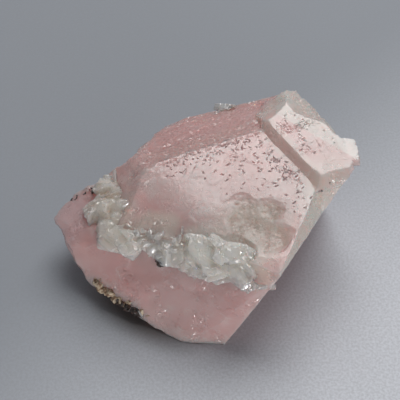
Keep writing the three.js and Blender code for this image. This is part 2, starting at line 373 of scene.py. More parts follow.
@dataclass(frozen=True)
class Scarred:
    """Shell-shaped breaks struck out of a face, with small chips scattered about them.

    Chips are x, y, reach and number, in the whole object's millimetres.
    """

    scars: tuple[Scar, ...]
    chips: Clusters
    seed: int
    chip_size: Pair = (0.2, 0.75)
    chip_depth: Pair = (0.03, 0.13)

    def relief(self, face: Face) -> Heights:
        """The heights of these breaks on a face."""
        draw = random.Random(self.seed)
        bowls = [(*face.local(face.above(s.x, s.y)), s.long, s.short, s.depth, math.radians(s.turn), s.ripple)
                 for s in self.scars]
        chips = []
        for place in strewn_places(face, draw, self.chips):
            size = draw.uniform(*self.chip_size)
            chips.append((*place, size, size * draw.uniform(0.45, 0.9), draw.uniform(*self.chip_depth),
                          draw.uniform(0, math.tau)))

        def height(x: Array, y: Array) -> Array:
            """Heights of the lowest bowl at each point, in millimetres."""
            lowest = np.full_like(x, 2.0)
            warp_x = x + 0.5 * layered(x, y, 3.5, self.seed + 2, 3)
            warp_y = y + 0.5 * layered(x, y, 3.5, self.seed + 6, 3)
            for at_x, at_y, long, short, depth, turn, ripple in bowls:
                across, along = warp_x - at_x, warp_y - at_y
                u, v = shares(across, along, long, short, turn)
                struck = np.hypot(u - 0.9, v + 0.3)
                rings = ripple * np.sin(struck * 15.0 + 2 * u) * struck
                within = 1 - u * u - v * v
                bowl = np.where(within > 0, -depth * np.abs(within) ** 1.6 + rings, -within)
                lowest = np.minimum(lowest, bowl)
            for at_x, at_y, long, short, depth, turn in chips:
                across, along = x - at_x, y - at_y
                u, v = shares(across, along, long, short, turn)
                bitten = np.abs(u) ** 3 + np.abs(v) ** 3
                bite = depth * np.clip(1.0 - bitten, 0, 0.4) * (1.6 + 1.9 * u + 0.6 * v)
                lowest = np.where(bitten < 1, np.minimum(lowest, 0) - np.maximum(bite, 0), lowest)
            return np.minimum(lowest, 2.0)

        return height


# ---------------- modelling by hand


def only(piece: Piece) -> None:
    """Makes a piece the only selected one, and the active one."""
    bpy.ops.object.select_all(action="DESELECT")
    piece.select_set(True)
    bpy.context.view_layer.objects.active = piece


@contextmanager
def editing() -> Iterator[None]:
    """Edits the active piece's mesh, and leaves edit mode at the end."""
    bpy.ops.object.mode_set(mode="EDIT")
    yield
    bpy.ops.object.mode_set(mode="OBJECT")


def points_of(piece: Piece) -> Array:
    """A piece's corners, in millimetres."""
    corners = np.empty(len(piece.data.vertices) * 3, dtype=np.float32)
    piece.data.vertices.foreach_get("co", corners)
    return corners.reshape(-1, 3).astype(float) / MM


def move_points(piece: Piece, points: Array) -> None:
    """Moves a piece's corners to these places, in millimetres."""
    piece.data.vertices.foreach_set("co", (points * MM).astype(np.float32).ravel())
    piece.data.update()


def bisect(piece: Piece, place: Vector, normal: Vector) -> None:
    """Cuts off all of a piece beyond a plane, given in millimetres, and fills the cut."""
    only(piece)
    with editing():
        bpy.ops.mesh.select_all(action="SELECT")
        bpy.ops.mesh.bisect(plane_co=place * MM, plane_no=normal, use_fill=True, clear_outer=True)


def block(name: str, size: Vector, middle: Vector) -> Piece:
    """A box of this size in millimetres, its place in its mesh."""
    bpy.ops.object.select_all(action="DESELECT")
    bpy.ops.mesh.primitive_cube_add(size=1, location=middle * MM)
    piece = bpy.context.object
    piece.name = name
    piece.scale = size * MM
    bpy.ops.object.transform_apply(location=True, rotation=True, scale=True)
    return piece


def rough_block(face: Face, middle: Pair, across: float, cell: float, height: Heights) -> Piece:
    """A block whose near side is a relief on a face, to cut away everything beyond it.

    Args:
        face: the face, in the whole object's place.
        middle: the near side's middle, in the face's own millimetres.
        across: edge of the block, in millimetres.
        cell: edge of the near side's cells, in millimetres.
        height: gives the heights of the near side above the face from the face's own x and y.

    Returns:
        The closed block.
    """
    bpy.ops.object.select_all(action="DESELECT")
    cells = max(2, round(across / cell))
    bpy.ops.mesh.primitive_grid_add(x_subdivisions=cells, y_subdivisions=cells, size=across * MM)
    piece = bpy.context.object
    with editing():
        bpy.ops.mesh.select_mode(type="EDGE")
        bpy.ops.mesh.select_all(action="DESELECT")
        bpy.ops.mesh.select_non_manifold()
        bpy.ops.mesh.extrude_edges_move(TRANSFORM_OT_translate={"value": (0, 0, across * MM / 2)})
        bpy.ops.mesh.edge_face_add()
        bpy.ops.mesh.select_all(action="SELECT")
        bpy.ops.mesh.normals_make_consistent(inside=False)
    corners = points_of(piece)
    near = corners[:, 2] < 1e-3
    corners[near, 2] = height(corners[near, 0] + middle[0], corners[near, 1] + middle[1])
    move_points(piece, corners)
    piece.data.transform(face.matrix(*middle))
    piece.data.update()
    return piece


def combine(piece: Piece, other: Piece, operation: str) -> None:
    """Cuts a piece by another, or joins them, and removes the other."""
    modifier = piece.modifiers.new("combine", "BOOLEAN")
    modifier.operation = operation
    modifier.solver = "MANIFOLD"
    modifier.object = other
    only(piece)
    bpy.ops.object.modifier_apply(modifier=modifier.name)
    bpy.data.objects.remove(other, do_unlink=True)


def extent(piece: Piece, face: Face) -> tuple[Pair, float]:
    """Where a piece reaches a face or stands beyond it.

    Args:
        piece: the piece, cut a little outside the face.
        face: the face.

    Returns:
        The middle of what stands there, in the face's own millimetres, and the edge of the square about
        it, which is 0 where the piece doesn't reach the face.
    """
    points = points_of(piece)
    there = (points - np.array(face.middle)) @ np.array(face.normal) > -SLACK
    if not there.any():
        return (0.0, 0.0), 0.0
    across, along = face.flat(points[there])
    middle = ((across.min() + across.max()) / 2, (along.min() + along.max()) / 2)
    return middle, float(max(np.ptp(across), np.ptp(along)) + OVERHANG)


def carve(piece: Piece, face: Face, relief: Relief) -> None:
    """Gives a piece's flat face, which stands the relief's margin too high, its relief."""
    middle, across = extent(piece, face)
    if across > 0.0:
        block_beyond = rough_block(face, middle, across, relief.cell, relief.relief(face))
        combine(piece, block_beyond, "DIFFERENCE")


def soften(piece: Piece, line: Line, reach: float, rounds: int) -> None:
    """Rounds a piece off along a line.

    Args:
        piece: the piece.
        line: the line's corners, in millimetres.
        reach: how far from the line the rounding goes, in millimetres.
        rounds: how often each corner near the line is drawn to the middle of its neighbours.
    """
    points = points_of(piece)
    nearest = np.full(len(points), np.inf)
    for one, other in zip(np.array(line[:-1]), np.array(line[1:])):
        way = other - one
        along = np.clip((points - one) @ way / (way @ way), 0, 1)
        nearest = np.minimum(nearest, np.linalg.norm(points - one - along[:, None] * way, axis=1))
    only(piece)
    for parts in (piece.data.edges, piece.data.polygons):
        parts.foreach_set("select", np.zeros(len(parts), dtype=bool))
    for share in (1.0, 0.6):
        piece.data.vertices.foreach_set("select", nearest < reach * share)
        with editing():
            bpy.ops.mesh.select_mode(type="VERT")
            bpy.ops.mesh.vertices_smooth(factor=0.5, repeat=rounds)
            bpy.ops.mesh.select_all(action="DESELECT")


def crease(piece: Piece, sharp: float = CREASE) -> None:
    """Smooths a piece's shading except across edges sharper than so many degrees."""
    only(piece)
    bpy.ops.object.shade_smooth_by_angle(angle=math.radians(sharp))


# ---------------- splinters


@dataclass(frozen=True)
class Lump:
    """One split piece of a mineral: its place, half sizes and the way its broad side faces, in degrees."""

    place: Triple
    half: Triple
    facing: Pair
    spin: float = 0.0
    shape: int = 0

    def matrix(self) -> Matrix:
        """The placing, in metres, of a shape two millimetres across."""
        turn = Face(self.facing[0], self.facing[1], 0.0).matrix().to_3x3().to_4x4()
        spun = Matrix.Rotation(math.radians(self.spin), 4, "Z")
        return Matrix.Translation(Vector(self.place) * MM) @ turn @ spun @ Matrix.Diagonal((*self.half, 1.0))


@dataclass
class Splinters:
    """The few shapes that a mineral splits into, each modelled once and copied."""

    seed: int
    shapes: int = SHAPES
    cuts: int = 6
    nearest: float = 0.72
    farthest: float = 1.12

    def model(self) -> list[Piece]:
        """Models the shapes, each two millimetres across and at the origin."""
        draw = random.Random(self.seed)
        made = []
        for number in range(self.shapes):
            piece = block(f"splinter_{number}", Vector((2, 2, 2)), Vector((0, 0, 0)))
            for _ in range(self.cuts):
                way = Vector([draw.gauss(0, 1) for _ in range(3)]).normalized()
                bisect(piece, way * draw.uniform(self.nearest, self.farthest), way)
            made.append(piece)
        return made


def copy_of(shape: Piece, placing: Matrix) -> Piece:
    """A copy of a shape with a mesh of its own, placed."""
    piece = shape.copy()
    piece.data = shape.data.copy()
    bpy.context.collection.objects.link(piece)
    piece.data.transform(placing)
    return piece


def grown_together(name: str, shapes: list[Piece], lumps: list[Lump]) -> Piece:
    """Joins placed copies of some shapes in one closed piece."""
    pieces = [copy_of(shapes[lump.shape % len(shapes)], lump.matrix()) for lump in lumps]
    while len(pieces) > 1:
        pairs = [pieces[n:n + 2] for n in range(0, len(pieces), 2)]
        for pair in pairs:
            if len(pair) == 2:
                combine(pair[0], pair[1], "UNION")
        pieces = [pair[0] for pair in pairs]
    pieces[0].name = name
    pieces[0].data.name = name
    return pieces[0]


def leaning(draw: random.Random, facing: Pair, around: float, low: float, high: float) -> Pair:
    """A way near another: turned by up to so many degrees, and tilted low to high degrees more."""
    return facing[0] + draw.uniform(-around, around), facing[1] + draw.uniform(low, high)


def strewn(draw: random.Random, place: Vector, half: Triple, facing: Pair) -> Lump:
    """A lump with a random spin and shape."""
    return Lump(tuple(place), half, facing, draw.uniform(0, 360), draw.randrange(SHAPES))


def discard(shapes: list[Piece]) -> None:
    """Removes shapes that have been copied."""
    for shape in shapes:
        bpy.data.objects.remove(shape, do_unlink=True)


def aggregate(name: str, seed: int, lumps: list[Lump], sharp: float) -> Piece:
    """A closed piece of grown-together lumps, creased where its edges are sharper than so many degrees."""
    shapes = Splinters(seed).model()
    piece = grown_together(name, shapes, lumps)
    discard(shapes)
    crease(piece, sharp)
    return piece


# ---------------- the beryl

LOWER_TERRACE = Face(243.4, 10.3, 8.9)
UPPER_TERRACE = Face(243.4, 10.3, 10.3)
PYRAMID = Face(124.5, 23, 11.8)
RIGHT_BEVEL = Face(328, 52, 19.3)
RISER = Face(219, 54, -4.5)
RISER_END = Face(182, 75, -6.7)
RISER_BACK = Face(144, 40, 8.6)
FRONT = Face(244, 63, 11.9)
BACK_RIGHT_CHIP = Face(48, 26, 20.8)
Dressed = tuple[Face, Relief]


def broken(azimuth: float, tilt: float, distance: float, kind: Break, *relief: float) -> Dressed:
    """A broken face: the face's three measures, then the fracture's."""
    return Face(azimuth, tilt, distance), Fracture(kind, *relief)


@dataclass
class Beryl:
    """The pink tablet, cut from two blocks by its growth faces and then by its breaks."""

    lower_step: tuple[Dressed, ...] = (
        (LOWER_TERRACE, Etched(101, 250, (5.5, -0.5), (14.5, 8.5), (0.62, 0.78),
                               ((12.8, 1.2, 1.5, 24), (14.6, -1.0, 1.2, 26), (0.2, 4.4, 3.0, 44),
                                (-4.6, 2.4, 2.6, 34), (6.0, 4.4, 2.4, 26)), sag=(225.0, 1.5, 34.0))),
        (PYRAMID, Frosted(111)),
        (RIGHT_BEVEL, Striated(121, 0.04, 1.6, 0.3)),
    )
    upper_step: tuple[Dressed, ...] = (
        (UPPER_TERRACE, Etched(131, 26, (17.5, 5.0), (5.0, 5.0), (-0.5, 0.5),
                               ((13.3, 7.6, 1.0, 24), (17.1, 7.2, 1.1, 26), (16.4, 5.0, 0.9, 22),
                                (17.2, 3.0, 1.0, 30), (14.6, 9.5, 1.0, 8)),
                               (0.16, 0.45), (0.09, 0.17), (0.06, 0.12), 0.004, 0.11)),
        (RISER, Fracture(CURVED, 15, 0.12, 4.0, 0.02, 0.25)),
        (RISER_END, Fracture(CURVED, 16, 0.12, 4.0, 0.02, 0.25)),
        broken(278, 48, 10.3, CURVED, 17, 0.08, 4.0, 0.02, 0.25),
        (RISER_BACK, Fracture(CURVED, 9, 0.3, 4.0, 0.05, 0.25)),
        broken(99, 85, 18.6, HACKLY, 10, 0.4, 5.0, 0.06, 0.3),
    )
    whole: tuple[Dressed, ...] = (
        (Face(100, 90, 19.9), Striated(141)),
        (Face(329.4, 110.5, 15.4), Striated(151)),
        (FRONT, Fracture(CURVED, 3, 0.34, 13.0, 0.02, 0.33)),
        broken(263.8, 80.5, 16.9, CURVED, 4, 0.25, 9.0, 0.02, 0.33),
        broken(206, 162, 12.9, HACKLY, 21, 0.45, 9.0, 0.08, 0.5),
        broken(212, 92, 22, HACKLY, 5, 0.35, 6.0, 0.06, 0.3),
        broken(143, 88, 21.2, HACKLY, 7, 0.35, 6.0, 0.06, 0.3),
        broken(164, 152, 14, STEPPED, 6, 0.45, 8.0, 0.06, 0.5),
        broken(80, 150, 15.5, STEPPED, 14, 0.45, 10.0, 0.06, 0.5),
        (BACK_RIGHT_CHIP, Fracture(CURVED, 8, 0.3, 4.0, 0.04, 0.22)),
        broken(24, 86, 24.3, STEPPED, 12, 0.4, 7.0, 0.06, 0.33),
        broken(330, 75, 22.7, HACKLY, 13, 0.3, 4.0, 0.05, 0.28),
    )
    corners: tuple[tuple[Dressed, Dressed], ...] = (
        (broken(188, 40, 12.8, CURVED, 31, 0.3, 9.0, 0.03, 0.33),
         broken(196, 20, 7.6, CURVED, 32, 0.4, 6.0, 0.05, 0.33)),
        (broken(225, 42, 11.3, CURVED, 33, 0.3, 5.0, 0.05, 0.33),
         broken(196, 88, 16.5, CURVED, 34, 0.2, 5.0, 0.03, 0.5)),
        (broken(150, 86, 15.4, HACKLY, 41, 0.35, 6.0, 0.06, 0.33),
         broken(114, 85, 13.4, HACKLY, 42, 0.4, 6.0, 0.06, 0.33)),
    )
    worn: tuple[Dressed, ...] = (
        broken(125, 42, 15.6, CURVED, 63, 0.15, 3.0, 0.02, 0.25),
    )
    softened: tuple[tuple[Line, float, int], ...] = (
        (((-9.2, -9.5, 16.8), (-9.5, -4.0, 17.8), (-9.4, 2.0, 18.7)), 2.0, 30),
        (((-9.4, 2.0, 18.7), (-12.0, 5.8, 17.0), (-14.5, 8.6, 15.2)), 2.2, 40),
        (((-9.4, 2.0, 18.7), (-2.0, 6.0, 19.8)), 0.8, 4),
        (((-14.5, 8.6, 15.2), (-12.0, 10.5, 15.5), (-8.5, 12.0, 15.6), (-5.0, 13.5, 16.0)), 1.2, 8),
        (((12.5, 17.5, 20.6), (16.0, 17.0, 20.8)), 2.2, 24),
        (((11.3, 9.0, 23.1), (13.7, 11.2, 23.6), (14.0, 15.5, 22.0)), 1.4, 14),
        (((16.0, 17.0, 20.8), (20.0, 13.0, 21.4), (24.0, 8.0, 21.8)), 1.0, 6),
        (((19.1, -4.0, 20.2), (19.4, -2.4, 21.9), (24.4, -1.1, 22.5)), 1.3, 14),
        (((19.4, -4.4, 19.4), (22.0, -3.6, 19.2), (24.4, -1.4, 19.6)), 1.5, 24),
    )
    shell_break: Scarred = Scarred(
        (Scar(8.6, -10.4, 6.6, 5.0, 1.0, -26, 0.012), Scar(6.9, -6.4, 3.6, 2.4, 0.42, -16, 0.006),
         Scar(11.3, -7.4, 3.2, 2.7, 0.62, 20, 0.008), Scar(3.4, -12.4, 3.6, 2.0, 0.6, -24, 0.008),
         Scar(6.6, -13.4, 4.2, 2.8, 1.2, -24, 0.01), Scar(12.0, -12.0, 3.4, 3.2, 0.8, 30, 0.01),
         Scar(9.0, -8.8, 2.6, 1.8, 0.9, -40, 0.01), Scar(15.6, -2.6, 1.6, 1.1, 0.2, 40, 0.006)),
        ((7.6, -5.2, 2.2, 40), (11.6, -6.6, 2.2, 60), (12.6, -8.6, 1.6, 30), (15.4, -2.4, 1.5, 40),
         (8.6, -8.6, 3.0, 30), (5.2, -8.6, 2.2, 16), (11.4, -11.8, 2.6, 24), (5.2, -12.2, 3.0, 16)), 51,
        (0.15, 0.55), (0.02, 0.07))
    nub: tuple[Dressed, ...] = (
        broken(243.4, 10.3, 10.1, CURVED, 71, 0.12, 2.0, 0.02, 0.2),
        broken(5, 74, 27.9, HACKLY, 72, 0.2, 2.0, 0.03, 0.2),
        broken(322, 70, 21.7, HACKLY, 73, 0.2, 2.0, 0.03, 0.2),
        broken(80, 58, 15.8, CURVED, 74, 0.2, 2.0, 0.03, 0.2),
        broken(40, 164, -4.9, HACKLY, 75, 0.2, 2.0, 0.04, 0.25),
        broken(200, 90, -19.5, CURVED, 76, 0.1, 2.0, 0.02, 0.25),
        broken(272, 88, -0.9, CURVED, 77, 0.2, 2.0, 0.02, 0.25),
    )

    @staticmethod
    def cut(name: str, faces: tuple[Dressed, ...], plain: tuple[Dressed, ...] = ()) -> Piece:
        """A block bounded by its own faces, which are carved, and by others that stay plain."""
        piece = block(name, Vector((SPAN, SPAN, SPAN)), Vector((0, 0, SPAN / 2)))
        for face, relief in faces + plain:
            bisect(piece, face.middle + face.normal * relief.margin, face.normal)
        for face, relief in faces:
            carve(piece, face, relief)
        return piece

    @staticmethod
    def wedge(pair: tuple[Dressed, Dressed]) -> Piece:
        """The block beyond both faces of a re-entrant corner."""
        one, other = (rough_block(face, face.local(HEART), REACH, relief.cell, relief.relief(face))
                      for face, relief in pair)
        combine(one, other, "INTERSECT")
        return one

    def build(self) -> Piece:
        """Models the tablet.

        Returns:
            The closed piece.
        """
        piece = self.cut("morganite_tablet", self.lower_step, self.whole)
        combine(piece, self.cut("upper_step", self.upper_step, self.whole), "UNION")
        for face, relief in self.whole:
            carve(piece, face, relief)
        for pair in self.corners:
            combine(piece, self.wedge(pair), "DIFFERENCE")
        for face, relief in self.worn:
            carve(piece, face, relief)
        for line, reach, rounds in self.softened:
            soften(piece, line, reach, rounds)
        combine(piece, self.cut("nub", self.nub), "UNION")
        struck = LOWER_TERRACE.local(LOWER_TERRACE.above(*STRUCK_AT))
        breaks = self.shell_break.relief(LOWER_TERRACE)
        combine(piece, rough_block(LOWER_TERRACE, struck, 26, BARK, breaks), "DIFFERENCE")
        crease(piece)
        self.mark(piece)
        return piece

    def mark(self, piece: Piece) -> None:
        """Writes on each corner which face it lies on, and how deep in an etch pit."""
        points = points_of(piece)
        normals = np.empty(len(piece.data.vertices) * 3, dtype=np.float32)
        piece.data.vertices.foreach_get("normal", normals)
        normals = normals.reshape(-1, 3)

        def on(face: Face, under: float, over: float, most: float) -> tuple[Array, Array]:
            """Which corners lie on a face and face its way, and how far below it each is."""
            below = face.distance - (points - np.array(HEART)) @ np.array(face.normal)
            return (below > -over) & (below < under) & (normals @ np.array(face.normal) > most), below

        marks = {name: np.zeros(len(points)) for name in MARKS}
        for face, relief in (self.lower_step[0], self.upper_step[0]):
            there, below = on(face, 2.4, 0.05, 0.3)
            dug = below - relief.sunken(points[:, 0] - HEART.x, points[:, 1] - HEART.y)
            flat = np.clip((0.9 - below) / 0.5, 0, 1) * np.clip((0.42 - dug) / 0.1, 0, 1)
            marks["terrace"][there] = np.maximum(marks["terrace"][there], flat[there])
            if face is LOWER_TERRACE:
                marks["scoop"][there] = np.clip((dug[there] - 0.2) / 0.15, 0, 1)
            across, along = face.flat(points)
            pitted = np.zeros(len(points), dtype=bool)
            for x, y, size in relief.places(face):
                pitted |= np.hypot(across - x, along - y) < 0.5 * size * relief.length[1] + 0.05
            sunk = there & pitted & (dug < 0.4)
            if face is LOWER_TERRACE:
                sunk &= self.shell_break.relief(face)(across, along) > -0.05
            marks["sunk"][sunk] = np.clip((dug[sunk] - 0.165) / 0.07, 0, 1)
            marks["scoop"][sunk] = 0.0
        for name, face, under, over, most in (("riser", RISER, 0.6, 0.5, 0.6),
                                              ("riser", RISER_END, 0.8, 0.5, 0.5),
                                              ("pyramid", PYRAMID, 0.6, 0.1, 0.6),
                                              ("bevel", RIGHT_BEVEL, 0.5, 0.1, 0.7),
                                              ("rim", BACK_RIGHT_CHIP, 1.4, 1.2, 0.4)):
            marks[name][on(face, under, over, most)[0]] = 1.0
        for name, values in marks.items():
            layer = piece.data.attributes.new(name, "FLOAT", "POINT")
            layer.data.foreach_set("value", values.astype(np.float32))


# ---------------- feldspar and schorl


@dataclass
class Cleaved:
    """Splits a mass of feldspar into low steps along the cleavage of each of its crystals."""

    seed: int
    crystals: int
    facing: Pair
    lean: Pair = (34.0, 28.0)
    tread: Pair = (0.5, 1.4)
    skin: float = 0.17

    def apply(self, piece: Piece) -> None:
        """Gives a closed piece an even skin and steps it."""
        only(piece)
        piece.data.remesh_voxel_size = self.skin * MM
        bpy.ops.object.voxel_remesh()
        with editing():
            bpy.ops.mesh.select_all(action="SELECT")
            bpy.ops.mesh.vertices_smooth(factor=0.5, repeat=2)
        points = points_of(piece)
        draw = random.Random(self.seed)
        hearts = np.array([points[draw.randrange(len(points))] for _ in range(self.crystals)])
        bent = points + 0.5 * np.stack([layered(points[:, 1], points[:, 2], 1.6, self.seed + 1, 2),
                                        layered(points[:, 2], points[:, 0], 1.6, self.seed + 2, 2),
                                        layered(points[:, 0], points[:, 1], 1.6, self.seed + 3, 2)], axis=1)
        owner = np.argmin(np.linalg.norm(bent[:, None] - hearts, axis=2), axis=1)
        for number in range(self.crystals):
            own = owner == number
            face = Face(self.facing[0] + draw.uniform(-1, 1) * self.lean[0],
                        self.facing[1] + draw.uniform(-1, 1) * self.lean[1], 0)
            way = np.array(face.normal)
            tread = draw.uniform(*self.tread)
            high = points[own] @ way
            x, y_and_z = points[own, 0], points[own, 1] + points[own, 2]
            wavy = high + 0.03 * layered(x, y_and_z, 1.2, self.seed + number, 2)
            points[own] += np.outer(stairs(wavy, tread, 0.2) + 0.4 * tread - wavy, way) * 0.97
        move_points(piece, points)


@dataclass
class Crust:
    """Albite along the front rim of the terrace: a cleaved mass with blades standing on it.

    The line is x, y, z and half width of the crust, from the left shoulder to the right corner.
    """

    line: tuple[tuple[float, float, float, float], ...] = (
        (-16.3, 3.0, 13.2, 2.0), (-17.0, -1.0, 12.5, 2.5), (-14.9, -5.1, 12.8, 2.8), (-12.0, -8.3, 13.4, 2.2),
        (-8.8, -9.8, 14.1, 1.6), (-5.5, -11.7, 13.9, 2.4), (-1.7, -12.9, 14.7, 2.7), (2.4, -14.5, 15.1, 2.8),
        (6.2, -16.2, 14.8, 2.6), (9.5, -17.8, 14.3, 1.7))
    slabs: tuple[Lump, ...] = (
        Lump((-0.6, -12.3, 16.3), (2.2, 1.5, 1.0), (245, 34), 10, 3),
        Lump((2.2, -13.2, 16.4), (2.8, 1.8, 1.1), (246, 28), -14, 0),
        Lump((5.2, -14.1, 16.5), (2.9, 1.9, 1.1), (252, 24), 12, 1),
        Lump((7.9, -15.5, 16.0), (2.4, 1.8, 1.1), (255, 32), -20, 4),
        Lump((1.2, -14.8, 14.6), (4.0, 2.6, 1.3), (243, 50), -12, 2),
        Lump((6.0, -16.2, 14.2), (3.4, 2.3, 1.3), (246, 52), -18, 3),
        Lump((9.2, -17.3, 14.2), (2.4, 2.0, 1.2), (262, 50), 12, 0),
        Lump((-15.5, 1.4, 12.9), (3.2, 3.0, 2.1), (225, 28), 10, 6),
        Lump((-16.3, -2.4, 12.0), (3.2, 3.2, 2.1), (230, 34), -25, 5),
        Lump((-14.6, -6.4, 11.6), (3.4, 3.0, 2.2), (230, 44), 20, 4),
        Lump((-13.4, -3.6, 13.3), (2.9, 3.2, 1.7), (212, 30), 40, 8),
        Lump((-11.8, -8.5, 12.7), (2.9, 2.3, 1.7), (232, 42), -15, 1),
        Lump((-8.6, -10.1, 13.5), (3.0, 1.6, 1.2), (244, 48), -8, 6),
        Lump((-4.8, -11.9, 13.8), (3.2, 2.3, 1.3), (246, 50), 12, 4),
        Lump((-2.0, -13.2, 14.0), (3.0, 2.4, 1.3), (246, 50), -20, 5),
    )
    spikes: tuple[Lump, ...] = (
        Lump((-14.8, 3.5, 14.5), (0.25, 1.5, 0.8), (250, 25), 25, 7),
        Lump((-8.4, -9.0, 14.9), (0.35, 0.6, 0.7), (240, 20), 20, 3),
        Lump((-6.3, -9.9, 15.3), (0.3, 0.75, 0.8), (236, 25), -18, 2),
        Lump((-3.4, -10.9, 15.9), (0.35, 0.8, 0.9), (250, 22), 8, 5),
        Lump((-3.0, -10.0, 16.8), (0.2, 0.7, 0.5), (232, 30), 30, 4),
        Lump((1.0, -12.6, 16.4), (0.6, 1.2, 0.3), (238, 40), 14, 0),
        Lump((7.4, -15.9, 15.7), (1.3, 0.5, 0.35), (250, 45), 28, 8),
    )
    facing: Pair = (245, 50)
    lumps: int = 40
    blades: int = 64
    crumbs: int = 36
    seed: int = 61

    def between(self, share: float) -> tuple[Vector, float]:
        """The crust's middle and half width at a share of its length."""
        step = min(share, 0.9999) * (len(self.line) - 1)
        whole = int(step)
        part = step - whole
        one, other = self.line[whole], self.line[whole + 1]
        mixed = [a * (1 - part) + b * part for a, b in zip(one, other)]
        return Vector(mixed[:3]), mixed[3]

    def spot(self, draw: random.Random, share: float, width: float, low: float, high: float) -> Vector:
        """A random place across the crust, low to high of its half width above its line."""
        middle, wide = self.between(share)
        face = Face(*self.facing, 0)
        across = face.axes[1] * draw.uniform(-1, 1)
        return middle + across * wide * width + face.normal * draw.uniform(low, high) * wide

    def mass(self) -> list[Lump]:
        """The lumps that the crust's body is made of."""
        draw = random.Random(self.seed)
        face = Face(*self.facing, 0)
        found = list(self.slabs)
        for number in range(self.lumps):
            middle, wide = self.between((number + draw.random()) / self.lumps)
            across = face.axes[1] * draw.uniform(-1, 1)
            place = middle + across * wide * 0.7 + face.normal * draw.uniform(-0.9, -0.35)
            size = wide * draw.uniform(0.5, 0.85)
            facing = leaning(draw, self.facing, 24, -26, 16)
            half = (size, size * draw.uniform(0.6, 1.0), size * draw.uniform(0.35, 0.6))
            found.append(strewn(draw, place, half, facing))
        return found

    def scatter(self) -> list[Lump]:
        """Blades and crumbs strewn on the body."""
        draw = random.Random(self.seed + 1)
        found = list(self.spikes)
        for _ in range(self.blades):
            size = draw.uniform(0.25, 0.8)
            share = min(0.36 + 0.4 * abs(draw.gauss(0, 0.75)), 0.98)
            place = self.spot(draw, share, 0.9, 0.25, 0.5)
            facing = leaning(draw, self.facing, 70, -45, 45)
            half = (size, size * draw.uniform(0.35, 0.8), draw.uniform(0.08, 0.22))
            found.append(strewn(draw, place, half, facing))
        for number in range(self.crumbs):
            place = self.spot(draw, (number + draw.random()) / self.crumbs, 1.1, 0.1, 0.4)
            size = draw.uniform(0.12, 0.34)
            facing = leaning(draw, self.facing, 38, -30, 30)
            half = (size, size * draw.uniform(0.5, 1.0), size * draw.uniform(0.4, 0.9))
            found.append(strewn(draw, place, half, facing))
        return found

    def build(self) -> Piece:
        """Models the crust.

        Returns:
            The closed piece.
        """
        shapes = Splinters(self.seed, cuts=9).model()
        piece = grown_together("albite_band", shapes, self.mass())
        Cleaved(self.seed + 3, 38, self.facing).apply(piece)
        combine(piece, grown_together("albite_blades", shapes, self.scatter()), "UNION")
        discard(shapes)
        crease(piece, 15)
        return piece


@dataclass
class BackPatch:
    """Albite plates on the back rim."""

    middle: Triple = (4.5, 18.2, 14.6)
    facing: Pair = (105, 70)
    reach: float = 2.6
    plates: int = 26
    seed: int = 71

    def build(self) -> Piece:
        """Models the patch as one closed piece."""
        draw = random.Random(self.seed)
        face = Face(*self.facing, 0)
        level, uphill = face.axes
        found = [Lump(self.middle, (2.4, 1.6, 1.2), self.facing, 10, 1),
                 Lump((4.2, 18.7, 16.6), (2.1, 0.55, 0.3), (215, 30), 35, 1)]
        for _ in range(self.plates):
            out, around = self.reach * math.sqrt(draw.random()), draw.uniform(0, math.tau)
            place = (Vector(self.middle) + level * out * math.cos(around)
                     + uphill * 0.6 * out * math.sin(around) + face.normal * draw.uniform(0.1, 0.8))
            size = draw.uniform(0.4, 1.1)
            facing = leaning(draw, self.facing, 60, -40, 40)
            half = (size, size * draw.uniform(0.4, 0.9), draw.uniform(0.12, 0.4))
            found.append(strewn(draw, place, half, facing))
        return aggregate("albite_plates", self.seed, found, 12)


@dataclass
class Grains:
    """Small crystals strewn along a line on the surface.

    The line is x, y, z in millimetres; tall is a grain's length beside its width.
    """

    name: str
    line: Line
    count: int
    size: Pair
    spread: float
    seed: int
    tall: Pair = (1.0, 2.2)
    named: tuple[Lump, ...] = ()

    def build(self) -> Piece:
        """Models the grains.

        Returns:
            The piece, closed.
        """
        draw = random.Random(self.seed)
        found = list(self.named)
        for number in range(self.count):
            step = draw.uniform(0, len(self.line) - 1.001) if len(self.line) > 1 else 0
            whole = int(step)
            one = Vector(self.line[whole])
            other = Vector(self.line[min(whole + 1, len(self.line) - 1)])
            place = one.lerp(other, step - whole)
            place += Vector([draw.gauss(0, self.spread * 0.5) for _ in range(3)])
            size = draw.uniform(*self.size)
            facing = (draw.uniform(0, 360), draw.uniform(0, 180))
            half = (size * 0.5, size * draw.uniform(0.35, 0.5), size * 0.5 * draw.uniform(*self.tall))
            found.append(strewn(draw, place, half, facing))
        return aggregate(self.name, self.seed, found, 20)


# ---------------- shader maths


def joined(operation: str, turned: bool = False) -> Callable:
    """Makes an operator that joins two values to a Math node, turned about where asked."""

    def join(self: "Wire", other: "Value") -> "Wire":
        """This and another value, joined."""
        return self.bench.maths(operation, *((other, self) if turned else (self, other)))

    return join


@dataclass(frozen=True)
class Wire:
    """One output of a material's node, which Python's operators join to Math nodes."""

    bench: "Bench"
    socket: bpy.types.NodeSocket

    __add__ = __radd__ = joined("ADD")
    __mul__ = __rmul__ = joined("MULTIPLY")
    __sub__, __rsub__ = joined("SUBTRACT"), joined("SUBTRACT", True)
    __truediv__ = joined("DIVIDE")


Value = Union[Wire, float, tuple]


